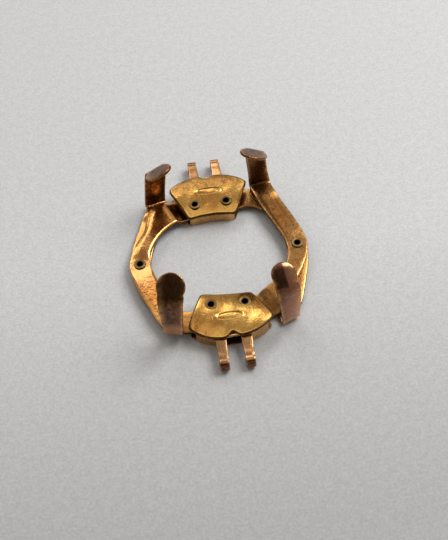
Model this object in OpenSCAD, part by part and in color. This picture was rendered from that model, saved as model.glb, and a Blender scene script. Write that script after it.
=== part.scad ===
// Expanding clamp that holds a round watch on a bracelet.
// Four levers with upright claws are pinned in pairs at the sides, and each pair of
// tongues is pinned in a small box at the front or rear. Squeezing the boxes together
// swings the claws apart. Two hooks on each box take the bars of a bracelet.
// Millimetres. The boxes stand on Z = 0, X runs to the right, the rear box is at +Y,
// and the origin is in the middle. The front half is the rear half turned by 180 degrees.

/* [Linkage] */
// Distance of a side pivot from the middle, along X
side_pivot_x = 12.6; // [12:0.1:14]
// Half the distance between the two pivots of one box
box_pivot_x = 2.6; // [2.5:0.05:2.8]
// Distance of the box pivots from the middle, along Y
box_pivot_y = 9.95; // [9.6:0.05:10.6]

/* [Levers] */
// Thickness of the lever plates
lever_t = 0.7; // [0.5:0.05:0.9]
// Half width of a lever at its side pivot
side_half_w = 1.68; // [1.5:0.02:1.9]
// Half width of a lever where it meets its claw
arm_end_half_w = 1.78; // [1.65:0.01:2]
// How far a claw's arm runs straight from the side pivot before it turns in
arm_run = 3.2; // [2.6:0.1:3.8]
// How far a claw's arm runs back from the claw before it turns in
arm_back = 4.3; // [3.8:0.1:4.8]
// How far the arm stands out at the end of that run
arm_out = 0.6; // [0.3:0.05:0.9]
// Radius of the round end of a tongue about its box pivot
tongue_r = 1.45; // [1.3:0.05:1.5]
// How much a tongue arm narrows between its pivots
waist = 0.3; // [0:0.02:0.5]
// How far the upper tongue runs straight from the side pivot before it turns in
upper_tongue_run = 3.6; // [3:0.1:4.2]
// How far along X the upper tongue runs level into its box
upper_tongue_level = 6; // [5.4:0.1:6.6]
// How far the upper tongue stands back at the start of that level run
upper_tongue_sweep = 0.55; // [0.3:0.05:0.8]
// How far the lower tongue runs straight from the side pivot before it turns in
lower_tongue_run = 6.2; // [5.6:0.1:6.8]
// How far along X the lower tongue runs level into its box
lower_tongue_level = 6; // [5.4:0.1:6.6]
// How far the lower tongue bows out at the start of that level run
lower_tongue_bow = 3.3; // [3:0.05:3.8]
// Distance along X from the box pivot to the step in the upper tongue
step_start = 2.75; // [2.7:0.05:2.9]
// Length of the step in the upper tongue along X
step_run = 1.4; // [1.2:0.05:1.6]
// How much a tongue arm flares outwards into the box
flare = 0.95; // [0.4:0.05:1]
// Radius of the heel that bears on the spring
heel_r = 0.85; // [0.7:0.05:0.9]
// Distance of the heel in front of the box pivot, along Y
heel_reach = 2.3; // [2:0.05:2.5]
// Distance of the heel from the box pivot towards the middle, along X
heel_in = 0.85; // [0.75:0.05:0.95]
// Drop of a lower lever from its side pivot to its claw
lower_drop = 0.45; // [0:0.05:0.45]
// Distance from the edge of the side pivot to where a lower lever starts to drop
drop_start = 1; // [0.8:0.1:1.4]
// Distance along Y from the end of that drop to the claw
drop_end = 4; // [3.6:0.1:4.4]

/* [Claws] */
// Distance of an upper claw from the middle, along X
upper_claw_x = 9.0; // [8.8:0.05:9.6]
// Distance of an upper claw from the middle, along Y
upper_claw_y = 13.5; // [13.2:0.05:14]
// Turn of an upper claw about its own stem
upper_claw_turn = 20; // [10:1:26]
// Distance of a lower claw from the middle, along X
lower_claw_x = 9.2; // [9:0.05:9.8]
// Distance of a lower claw from the middle, along Y
lower_claw_y = 13.2; // [13:0.05:14]
// Turn of a lower claw about its own stem
lower_claw_turn = 17; // [10:1:26]
// Thickness of the claw sheet
claw_t = 0.45; // [0.3:0.05:0.6]
// Height of the straight stem above the lever
stem_h = 7.3; // [5:0.05:9]
// Half width of the stem
stem_half_w = 1.54; // [1.3:0.02:1.6]
// Half width of the stem at the fold
fold_half_w = 1.64; // [1.5:0.02:1.7]
// Inner radius of the fold between lever and stem, at the middle of the sheet
fold_r = 0.55; // [0.5:0.05:0.7]
// Length of sheet in front of the fold that is one with the lever
root_len = 0.6; // [0.4:0.1:0.8]
// Sideways lean of the rear claws towards the middle line
rear_lean = 3; // [0:0.5:4]
// Sideways lean of the front claws towards the middle line
front_lean = 1; // [0:0.5:4]
// Radius of the bend between stem and tip, at the middle of the sheet
claw_bend_r = 1.6; // [1.2:0.05:2]
// Slope of the tip above the horizontal
tip_slope = 33; // [20:1:50]
// Length of the flat from the bend to the middle of the round tip
tip_flat = 1.8; // [1:0.02:2]
// Half width of the sheet in the middle of the bend
neck_half_w = 1.7; // [1.6:0.02:1.8]
// Radius of the round tip
tip_r = 1.93; // [1.8:0.01:2.2]

/* [Boxes] */
// Distance of the inner edge of a cover from the middle, along Y
box_inner_y = 7.6; // [7.4:0.05:7.8]
// Half width of a cover at its inner edge
box_inner_x = 3.95; // [3.7:0.05:4.2]
// Sideways spread of the cover per millimetre outwards
box_spread = 0.46; // [0.4:0.01:0.5]
// Rounding of the inner corners
corner_r = 0.45; // [0.2:0.05:0.6]
// Hollow of the inner edge at its middle
inner_bow = 0.25; // [0:0.05:0.4]
// Radius of the two lobes of the outer edge
lobe_r = 6.9; // [6.7:0.05:7.2]
// Distance of each lobe's centre from the middle line, along X
lobe_x = 1.2; // [1:0.05:1.4]
// Distance of the tips of the lobes from the middle, along Y
box_outer_y = 15.9; // [15.8:0.05:16.2]
// Depth of the notch between the lobes
notch_depth = 0.95; // [0.5:0.05:1.2]
// Half width of the notch
notch_half_w = 1.15; // [0.9:0.05:1.3]
// Radius of the arch of the cover
arch_r = 14.7; // [13:0.1:20]
// Distance of the crown of the arch from the middle, along Y
arch_y = 12.8; // [12:0.1:13.5]
// Height of the crown of the cover
crown_z = 3.15; // [3.1:0.05:3.6]
// Thickness of the cover
cover_t = 0.35; // [0.25:0.05:0.4]
// Thickness of the tray's floor
floor_t = 0.35; // [0.25:0.05:0.45]
// Thickness of the tray's walls
wall_t = 0.35; // [0.25:0.05:0.4]
// How far the cover stands out past the tray
cover_lip = 0.22; // [0.1:0.02:0.3]
// Length of the bare stamped panel on the cover
panel_l = 4; // [3:0.1:4.4]
// Height of the bare stamped panel on the cover
panel_h = 1.25; // [0.8:0.05:1.5]
// Distance of the panel's middle from the box pivots, along Y
panel_out = 2.35; // [2.2:0.05:2.6]
// Width of the stamped line round the panel
panel_line = 0.14; // [0.1:0.01:0.2]
// Depth of the stamped line round the panel
panel_depth = 0.08; // [0.04:0.01:0.15]

/* [Hooks] */
// Half the distance between the two hooks of a box
hook_x = 1.95; // [1.85:0.05:2.05]
// Width of a hook at its curl
hook_w = 1.52; // [1.3:0.02:1.6]
// Width of a hook where it leaves the box
hook_root_w = 1.8; // [1.6:0.02:1.9]
// Distance outside the box where a hook starts to narrow
hook_narrow_start = 0.3; // [0.2:0.05:0.5]
// Distance before the curl's axis where a hook has narrowed
hook_narrow_end = 1; // [0.8:0.1:1.2]
// How far the gap in the wall between the hooks cuts in behind each hook
hook_gap_in = 0.1; // [0.05:0.05:0.2]
// Thickness of the hook strip
hook_t = 0.42; // [0.3:0.02:0.5]
// Inner radius of the curl, which takes the bracelet bar
hook_bore_r = 0.58; // [0.5:0.02:0.62]
// Distance of the curl's axis from the middle, along Y
hook_axis_y = 19.35; // [18.8:0.05:20]
// Height of the curl's axis
hook_axis_z = 1.1; // [1.06:0.01:1.2]
// Angle that the curl turns through from the top of the strip
hook_wrap = 235; // [200:5:250]

/* [Eyelets] */
// Outer radius of the eyelet barrel
barrel_r = 0.72; // [0.65:0.01:0.8]
// Radius of the hole through the eyelet
eyelet_hole_r = 0.48; // [0.4:0.01:0.55]
// Radius of the rolled rim
rim_r = 0.94; // [0.85:0.01:1]
// Height of the rolled rim
rim_h = 0.2; // [0.15:0.01:0.25]
// Radius of the shoulder that keeps a tongue down on the floor
shoulder_r = 1.1; // [1:0.05:1.3]

/* [Springs] */
// Thickness of the hairpin spring strip
spring_t = 0.22; // [0.15:0.01:0.25]
// Height of the hairpin spring strip
spring_h = 0.9; // [0.6:0.05:1.2]
// How far the spring's eye runs on past a half turn at each end, in degrees
eye_past = 12; // [8:1:16]
// Radius of the post inside the hairpin's eye
post_r = 0.42; // [0.35:0.01:0.45]
// Distance of the post inside the tips of the lobes, along Y
post_in = 2.2; // [2.1:0.05:2.4]
// Length of the hairpin's legs
spring_leg = 3; // [2.5:0.1:3.2]
// Length of a leg's straight end
spring_straight = 0.6; // [0.4:0.1:0.8]

/* [Fits] */
// Running clearance between an eyelet barrel and a lever, on the radius
run_gap = 0.04; // [0.02:0.01:0.08]
// Clearance between pieces that are fixed together
seat_gap = 0.02; // [0.01:0.01:0.03]
// Clearance between plates that slide over each other
plate_gap = 0.1; // [0.08:0.01:0.15]
// Clearance under the tongues
floor_gap = 0.2; // [0.15:0.01:0.25]
// Clearance round an eyelet's rim where it is sunk in the cover
rim_gap = 0.06; // [0.04:0.01:0.1]
// Clearance between the flare of a closed tongue and the end of the open side
side_gap = 0.75; // [0.7:0.05:0.8]

/* [Hidden] */
$fn = 64;

gold = [0.83, 0.62, 0.28];
rose_gold = [0.72, 0.48, 0.33];
bronze = [0.45, 0.38, 0.24];
steel = [0.55, 0.57, 0.6];

side_pivot = [side_pivot_x, 0];
box_pivot = [box_pivot_x, -box_pivot_y];

// Levels of the plates. Tongues and lower levers share the low one.
low_z = floor_t + floor_gap;
high_z = low_z + lever_t + plate_gap;
upper_top_z = high_z + lever_t;
low_top_z = low_z + lever_t;

// The upper lever steps down to its tongue between these places along X.
step_x0 = box_pivot_x + step_start;
step_x1 = step_x0 + step_run;
// The lower lever slopes down to its claw between these places along Y.
slope_y0 = side_half_w + drop_start;
slope_y1 = lower_claw_y - drop_end;

// The arch of the cover is a round bar along X with this axis.
arch_z = crown_z - arch_r;
function arch_top(y) = arch_z + sqrt(arch_r * arch_r - pow(y - arch_y, 2));

lobe_y = box_outer_y - lobe_r;
// The tongues leave through the open sides of the tray, between these places along Y.
side_open_x0 = box_pivot_x + tongue_r / 2;
side_open_y0 = box_inner_y + cover_lip + wall_t;
side_open_y1 = box_pivot_y + tongue_r + flare + side_gap;
hook_gap_x = hook_x - hook_root_w / 2 + hook_gap_in;
post_y = box_outer_y - post_in;
spot_z = arch_top(box_pivot_y) - rim_h / 2;
hook_outer_r = hook_bore_r + hook_t;
hook_top_z = hook_axis_z + hook_outer_r;
// Cutters reach past the whole part, or just past the face that they open.
edge = 60;
over = 1;

// A point of the cubic curve with the four control points p.
function curve(p, t) = pow(1 - t, 3) * p[0] + 3 * t * pow(1 - t, 2) * p[1]
    + 3 * t * t * (1 - t) * p[2] + pow(t, 3) * p[3];
function slope_of(p, t) = 3 * pow(1 - t, 2) * (p[1] - p[0]) + 6 * t * (1 - t) * (p[2] - p[1])
    + 3 * t * t * (p[3] - p[2]);
// A point beside the curve, at the distance d to its left.
function beside(p, t, d) = let (s = slope_of(p, t)) curve(p, t) + d * [-s[1], s[0]] / norm(s);
function reversed(v) = [for (i = [len(v) - 1 : -1 : 0]) v[i]];
function arc(centre, r, a0, a1, n) = [for (i = [0 : n])
    let (a = a0 + (a1 - a0) * i / n) centre + r * [cos(a), sin(a)]];

// Outline of a box, seen from above and drawn for the rear one, set in by g.
function side_x(y, g) = box_inner_x + box_spread * (y - box_inner_y)
    - g * sqrt(1 + box_spread * box_spread);
function lobe_corner(g) = let (
    rho = lobe_r - g,
    a = side_x(lobe_y, g) - lobe_x,
    k = 1 + box_spread * box_spread,
    u = (-a * box_spread + sqrt(pow(a * box_spread, 2) - k * (a * a - rho * rho))) / k)
    atan2(u, a + box_spread * u);
function half_outline(g) = let (
    inner_x = side_x(box_inner_y + g, g) - corner_r,
    inner = [for (i = [0 : 6]) [inner_x * i / 6, box_inner_y + g + inner_bow * (1 - pow(i / 6, 2))]],
    sharp = [side_x(box_inner_y + g, g), box_inner_y + g],
    corner = [for (i = [1 : 6]) curve([sharp - [corner_r, 0], sharp - [corner_r / 3, 0],
        sharp + corner_r / 3 * [box_spread, 1], sharp + corner_r * [box_spread, 1]], i / 6)],
    lobe = arc([lobe_x, lobe_y], lobe_r - g, lobe_corner(g), acos((notch_half_w - lobe_x) / lobe_r), 14),
    notch = [[0, box_outer_y - notch_depth - g * norm([notch_depth, notch_half_w]) / notch_half_w]])
    concat(inner, corner, lobe, notch);
function outline(g) = let (h = half_outline(g))
    concat(h, reversed([for (p = h) if (p[0] > 0) [-p[0], p[1]]]));

module box_slab(g, z0, z1) {
    translate([0, 0, z0]) linear_extrude(z1 - z0) polygon(outline(g));
}

// A solid of the round bar whose top is the arch, lowered by d.
module arch_bar(d) {
    translate([-edge / 2, arch_y, arch_z]) rotate([0, 90, 0]) cylinder(h = edge, r = arch_r - d, $fn = 180);
}

module at_box_pivots() {
    for (s = [-1, 1]) translate([s * box_pivot_x, box_pivot_y, 0]) children();
}

module turned() {
    rotate([0, 0, 180]) children();
}

// Elongated six sided panel of the given half length and half height.
module lozenge(l, h) {
    polygon([[-l, 0], [-l + h, h], [l - h, h], [l, 0], [l - h, -h], [-l + h, -h]]);
}

module cover() {
    color(gold) difference() {
        intersection() {
            box_slab(0, floor_t, crown_z + over);
            arch_bar(0);
        }
        arch_bar(cover_t);
        at_box_pivots() {
            cylinder(h = crown_z + over, r = barrel_r + seat_gap);
            translate([0, 0, spot_z]) cylinder(h = over, r = rim_r + rim_gap);
        }
        // The bare panel is a line pressed into the top of the arch.
        intersection() {
            difference() {
                arch_bar(-over);
                arch_bar(panel_depth);
            }
            translate([0, box_pivot_y + panel_out, 0]) linear_extrude(crown_z + over) difference() {
                lozenge(panel_l / 2, panel_h / 2);
                lozenge(panel_l / 2 - sqrt(2) * panel_line, panel_h / 2 - panel_line);
            }
        }
    }
}

module tray() {
    color(gold) difference() {
        union() {
            box_slab(cover_lip, 0, floor_t);
            intersection() {
                difference() {
                    box_slab(cover_lip, 0, crown_z);
                    box_slab(cover_lip + wall_t, floor_t, crown_z + over);
                    // The tongues leave through the open sides.
                    for (x = [-edge, side_open_x0]) translate([x, side_open_y0, floor_t])
                        cube([edge - (x < 0 ? side_open_x0 : 0), side_open_y1 - side_open_y0, crown_z]);
                    // The wall is open between the hooks.
                    translate([-hook_gap_x, side_open_y1, floor_t])
                        cube([2 * hook_gap_x, edge, crown_z]);
                    for (s = [-1, 1]) translate([s * hook_x, box_outer_y, hook_top_z - hook_t / 2])
                        cube([hook_root_w + 2 * seat_gap, 2 * post_in, hook_t + 2 * seat_gap], center = true);
                }
                arch_bar(cover_t + seat_gap);
            }
            translate([0, post_y, 0]) cylinder(h = low_z + spring_h, r = post_r);
        }
        at_box_pivots() {
            translate([0, 0, -over]) cylinder(h = floor_t + 2 * over, r = barrel_r + seat_gap);
            translate([0, 0, -over]) cylinder(h = over + rim_h + 2 * seat_gap, r = rim_r + seat_gap);
        }
    }
}

// Hook in the plane of Y and Z, then as wide as the strip. It is soldered inside the wall.
module hook(side) {
    leg_y = lobe_y + sqrt(pow(lobe_r - cover_lip - wall_t, 2) - pow(hook_x + hook_root_w / 2 - lobe_x, 2))
        - seat_gap - hook_t;
    narrow_y0 = box_outer_y + hook_narrow_start;
    narrow_y1 = hook_axis_y - hook_narrow_end;
    color(rose_gold) translate([side * hook_x, 0, 0]) intersection() {
        rotate([90, 0, 90]) translate([0, 0, -hook_root_w / 2]) linear_extrude(hook_root_w) {
            translate([leg_y, floor_t + seat_gap]) square([hook_t, hook_top_z - floor_t - seat_gap]);
            translate([leg_y, hook_top_z - hook_t]) square([hook_axis_y - leg_y, hook_t]);
            translate([hook_axis_y, hook_axis_z]) difference() {
                circle(r = hook_outer_r);
                circle(r = hook_bore_r);
                polygon([[0, 0], [0, edge], [-edge, edge], edge * [cos(90 - hook_wrap), sin(90 - hook_wrap)]]);
            }
        }
        translate([0, 0, -over]) linear_extrude(crown_z + over) polygon([
            [-hook_root_w / 2, 0], [-hook_root_w / 2, narrow_y0], [-hook_w / 2, narrow_y1],
            [-hook_w / 2, edge], [hook_w / 2, edge], [hook_w / 2, narrow_y1],
            [hook_root_w / 2, narrow_y0], [hook_root_w / 2, 0]]);
    }
}

// Hollow rivet with a rim rolled over at each end, between the heights z0 and z1.
module eyelet(z0, z1, collar_z0, collar_z1) {
    r = rim_h / 2;
    color(bronze) rotate_extrude() {
        difference() {
            union() {
                translate([eyelet_hole_r, z0 + r]) square([barrel_r - eyelet_hole_r, z1 - z0 - 2 * r]);
                for (z = [z0 + r, z1 - r]) {
                    translate([eyelet_hole_r, z - r]) square([rim_r - r - eyelet_hole_r, 2 * r]);
                    translate([rim_r - r, z]) circle(r = r, $fn = 24);
                }
                if (collar_z1 > collar_z0)
                    translate([eyelet_hole_r, collar_z0]) square([shoulder_r - eyelet_hole_r, collar_z1 - collar_z0]);
            }
            // The mouth of the hole is rounded at both ends.
            for (z = [z0, z1]) translate([eyelet_hole_r, z]) rotate(45) square(r, center = true);
        }
    }
}

module box_eyelet(side) {
    translate([side * box_pivot_x, box_pivot_y, 0])
        eyelet(seat_gap, spot_z + seat_gap + rim_h, low_top_z + run_gap,
            arch_top(box_pivot_y - shoulder_r) - cover_t - seat_gap);
}

module side_eyelet() {
    translate([side_pivot_x, 0, 0]) eyelet(low_z - rim_h - run_gap, upper_top_z + rim_h + seat_gap, 0, 0);
}

// Hairpin with its eye round the post and its legs along the heels.
module spring() {
    leg_x = box_pivot_x - heel_in - heel_r - run_gap - spring_t / 2;
    eye_r = post_r + seat_gap + spring_t / 2;
    half = [[leg_x, -spring_leg], [leg_x, spring_straight - spring_leg]];
    line = concat(half, arc([0, 0], eye_r, -eye_past, 180 + eye_past, 20), reversed([for (p = half) [-p[0], p[1]]]));
    color(steel) translate([0, post_y, low_z]) linear_extrude(spring_h) polygon(sheet(line, spring_t));
}

// Lever seen from above, drawn with its claw at the rear right and its tongue to the front.
module lever_plan(seat, turn, run, level, sweep) {
    arm = [side_pivot, side_pivot + [0, arm_run], seat + [arm_out, -arm_back], seat];
    tongue = [side_pivot, side_pivot - [0, run], box_pivot + [level, sweep], box_pivot];
    steps = 12;
    difference() {
        polygon(concat(
            [for (i = [0 : steps]) beside(arm, i / steps, side_half_w + (arm_end_half_w - side_half_w) * i / steps)],
            [seat + [-arm_end_half_w, fold_r], seat + [arm_end_half_w, fold_r]],
            [for (i = [steps : -1 : 0])
                beside(arm, i / steps, -side_half_w - (arm_end_half_w - side_half_w) * i / steps)]));
        translate(seat) rotate(-turn) translate([-edge / 2, -fold_r]) square(edge);
    }
    polygon(concat(
        [for (i = [0 : steps]) let (t = i / steps)
            beside(tongue, t, side_half_w + (tongue_r - side_half_w) * t - waist * sin(180 * t) + flare * pow(t, 3))],
        [for (i = [steps : -1 : 0]) let (t = i / steps)
            beside(tongue, t, -side_half_w - (tongue_r - side_half_w) * t + waist * sin(180 * t))]));
    translate(side_pivot) circle(r = side_half_w);
    translate(box_pivot) circle(r = tongue_r);
    translate(box_pivot - [heel_in, heel_reach]) circle(r = heel_r);
    translate(box_pivot) polygon([[-heel_in - heel_r, -heel_reach], [-tongue_r, 0], [0, 0],
        [0, -tongue_r - flare], [-heel_in, -heel_reach - heel_r]]);
}

// Line down the middle of the claw sheet, outwards and up from the fold.
bend_end = [claw_bend_r * (sin(tip_slope) - 1), stem_h + claw_bend_r * cos(tip_slope)];
function claw_line() = concat(
    [[-fold_r - root_len, -lever_t / 2]],
    arc([-fold_r, fold_r - lever_t / 2], fold_r, -90, 0, 6),
    arc([-claw_bend_r, stem_h], claw_bend_r, 0, 90 - tip_slope, 10),
    [bend_end + (tip_flat + 2 * tip_r) * [-cos(tip_slope), sin(tip_slope)]]);
function ahead(v, i) = let (d = v[min(i + 1, len(v) - 1)] - v[max(i - 1, 0)]) d / norm(d);
function sheet(v, t) = concat(
    [for (i = [0 : len(v) - 1]) let (d = ahead(v, i)) v[i] + t / 2 * [-d[1], d[0]]],
    [for (i = [len(v) - 1 : -1 : 0]) let (d = ahead(v, i)) v[i] - t / 2 * [-d[1], d[0]]]);
function stem_widths() = [[fold_half_w, -lever_t], [fold_half_w, 0], [stem_half_w, stem_h / 3],
    [stem_half_w, stem_h - claw_bend_r], [neck_half_w, bend_end[1]]];

// Claw that stands on the lever's top at the origin. It faces outwards along Y.
module claw(lean) {
    rotate([0, -lean, 0]) intersection() {
        rotate([90, 0, 90]) translate([0, 0, -edge / 2]) linear_extrude(edge) polygon(sheet(claw_line(), claw_t));
        union() {
            // Stem, seen from outside
            rotate([90, 0, 0]) translate([0, 0, -edge / 2]) linear_extrude(edge) polygon([
                for (s = [1, -1]) for (p = s > 0 ? stem_widths() : reversed(stem_widths())) [s * p[0], p[1]]]);
            // Round tip, seen square to its face
            translate([0, bend_end[0], bend_end[1]]) rotate([180 - tip_slope, 0, 0])
                translate([0, tip_flat, -over]) linear_extrude(2 * over) {
                    circle(r = tip_r);
                    polygon([[-tip_r, 0], [tip_r, 0], [neck_half_w, -tip_flat - claw_t], [-neck_half_w, -tip_flat - claw_t]]);
                }
        }
    }
}

module lever_bores() {
    for (p = [side_pivot, box_pivot]) translate([p[0], p[1], -over])
        cylinder(h = upper_top_z + 2 * over, r = barrel_r + run_gap);
}

module upper_lever(lean) {
    seat = [upper_claw_x, upper_claw_y];
    color(gold) difference() {
        union() {
            intersection() {
                linear_extrude(upper_top_z + over)
                    lever_plan(seat, upper_claw_turn, upper_tongue_run, upper_tongue_level, upper_tongue_sweep);
                rotate([90, 0, 0]) translate([0, 0, -edge / 2]) linear_extrude(edge) polygon([
                    [-edge, low_z], [step_x0, low_z], [step_x1, high_z], [edge, high_z],
                    [edge, upper_top_z], [step_x1, upper_top_z], [step_x0, low_top_z], [-edge, low_top_z]]);
            }
            translate([seat[0], seat[1], upper_top_z]) rotate(-upper_claw_turn) claw(lean);
        }
        lever_bores();
    }
}

module lower_lever(lean) {
    seat = [lower_claw_x, lower_claw_y];
    color(gold) mirror([0, 1, 0]) difference() {
        union() {
            intersection() {
                linear_extrude(upper_top_z + over)
                    lever_plan(seat, lower_claw_turn, lower_tongue_run, lower_tongue_level, -lower_tongue_bow);
                rotate([90, 0, 90]) translate([0, 0, -edge / 2]) linear_extrude(edge) polygon([
                    [-edge, low_z], [slope_y0, low_z], [slope_y1, low_z - lower_drop], [edge, low_z - lower_drop],
                    [edge, low_top_z - lower_drop], [slope_y1, low_top_z - lower_drop],
                    [slope_y0, low_top_z], [-edge, low_top_z]]);
            }
            translate([seat[0], seat[1], low_top_z - lower_drop]) rotate(-lower_claw_turn) claw(lean);
        }
        lever_bores();
    }
}

module front_cover() { turned() cover(); }
module front_tray() { turned() tray(); }
module front_left_hook() { turned() hook(1); }
module front_right_hook() { turned() hook(-1); }
module front_left_eyelet() { turned() box_eyelet(1); }
module front_right_eyelet() { turned() box_eyelet(-1); }
module front_spring() { turned() spring(); }
module rear_cover() { cover(); }
module rear_tray() { tray(); }
module rear_left_hook() { hook(-1); }
module rear_right_hook() { hook(1); }
module rear_left_eyelet() { box_eyelet(-1); }
module rear_right_eyelet() { box_eyelet(1); }
module rear_spring() { spring(); }
module right_upper_lever() { upper_lever(rear_lean); }
module right_lower_lever() { lower_lever(front_lean); }
module left_upper_lever() { turned() upper_lever(front_lean); }
module left_lower_lever() { turned() lower_lever(rear_lean); }
module right_side_eyelet() { side_eyelet(); }
module left_side_eyelet() { turned() side_eyelet(); }

front_cover();
front_tray();
front_left_hook();
front_right_hook();
front_left_eyelet();
front_right_eyelet();
front_spring();
rear_cover();
rear_tray();
rear_left_hook();
rear_right_hook();
rear_left_eyelet();
rear_right_eyelet();
rear_spring();
right_upper_lever();
right_lower_lever();
left_upper_lever();
left_lower_lever();
right_side_eyelet();
left_side_eyelet();
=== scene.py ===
"""Expanding watch clamp in worn rolled gold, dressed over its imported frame.

Sizes are millimetres in the code and metres in the meshes. The ring of levers lies round Z,
the rear box is at +Y, and each half is the other one turned by half a turn.
"""
import logging
from dataclasses import dataclass, field
from enum import Enum
from math import acos, atan2, cos, hypot, pi, radians, sin, sqrt, tan
from typing import Sequence

import bmesh
import bpy
from mathutils import Matrix, Vector


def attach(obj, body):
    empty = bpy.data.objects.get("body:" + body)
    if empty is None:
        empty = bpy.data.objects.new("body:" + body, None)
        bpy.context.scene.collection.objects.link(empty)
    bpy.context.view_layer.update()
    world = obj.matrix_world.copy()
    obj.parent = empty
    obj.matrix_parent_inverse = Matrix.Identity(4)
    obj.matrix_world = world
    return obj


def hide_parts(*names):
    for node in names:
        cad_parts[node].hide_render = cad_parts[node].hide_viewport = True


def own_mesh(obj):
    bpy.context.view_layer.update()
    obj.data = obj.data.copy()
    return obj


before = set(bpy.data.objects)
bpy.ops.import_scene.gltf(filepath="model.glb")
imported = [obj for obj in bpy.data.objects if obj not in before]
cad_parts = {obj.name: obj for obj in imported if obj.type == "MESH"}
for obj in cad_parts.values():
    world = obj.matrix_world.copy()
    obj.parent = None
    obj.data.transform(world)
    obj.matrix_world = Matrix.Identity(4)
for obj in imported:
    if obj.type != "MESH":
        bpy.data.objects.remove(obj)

MM = 0.001
Colour = tuple[float, float, float]
Point = tuple[float, float]
Row = tuple[float, float, float, float]
Creases = tuple[Point, Point]
Socket = bpy.types.NodeSocket
log = logging.getLogger("watch_clamp")
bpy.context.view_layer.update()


def clamp(x: float, low: float = 0.0, high: float = 1.0) -> float:
    """Returns x held between low and high."""
    return max(low, min(high, x))


def ease(x: float) -> float:
    """Returns a smooth step from 0 to 1 for x from 0 to 1."""
    x = clamp(x)
    return x * x * (3 - 2 * x)


def mix(a: float, b: float, t: float) -> float:
    """Returns the value at t between a and b."""
    return a + (b - a) * t


def swell(t: float, first: float) -> float:
    """Returns a bulge that starts at first, is 1 half way on and ends at t = 1."""
    return sin(pi * clamp((t - first) / (1 - first))) ** 2


def arc(centre: Point, r: float, first: float, last: float, steps: int) -> list[Point]:
    """Returns the points of an arc in that many steps, from the angle first to last in radians."""
    angles = [mix(first, last, i / steps) for i in range(steps + 1)]
    return [(centre[0] + r * cos(a), centre[1] + r * sin(a)) for a in angles]


def bezier(p: Sequence[Point], t: float) -> Vector:
    """Returns the point at t, from 0 to 1, of the cubic curve with those four control points."""
    k = ((1 - t) ** 3, 3 * t * (1 - t) ** 2, 3 * t * t * (1 - t), t ** 3)
    return Vector(sum(w * q[i] for w, q in zip(k, p)) for i in (0, 1))


def ripple(x: float, y: float, seed: float) -> float:
    """Returns the slow unevenness of hand-worked sheet at a place in mm, from about -1 to 1."""
    return (sin(1.1 * x + 0.7 * y + seed) * cos(0.9 * y - 0.4 * x + 2.3 * seed)
            + 0.5 * sin(2.3 * x - 1.7 * y + 1.9 * seed)) / 1.5


def add_object(name: str, data: bpy.types.ID) -> bpy.types.Object:
    """Adds an object to the scene."""
    thing = bpy.data.objects.new(name, data)
    bpy.context.scene.collection.objects.link(thing)
    return thing


class Half(Enum):
    """Which half of the clamp a piece belongs to."""

    REAR = 0.0
    FRONT = pi

    @property
    def word(self) -> str:
        """The half's name in the names of the pieces."""
        return self.name.lower()

    @property
    def turn(self) -> Matrix:
        """The turn about Z that takes a piece drawn for the rear half to this half."""
        return Matrix.Rotation(self.value, 4, "Z")


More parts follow.
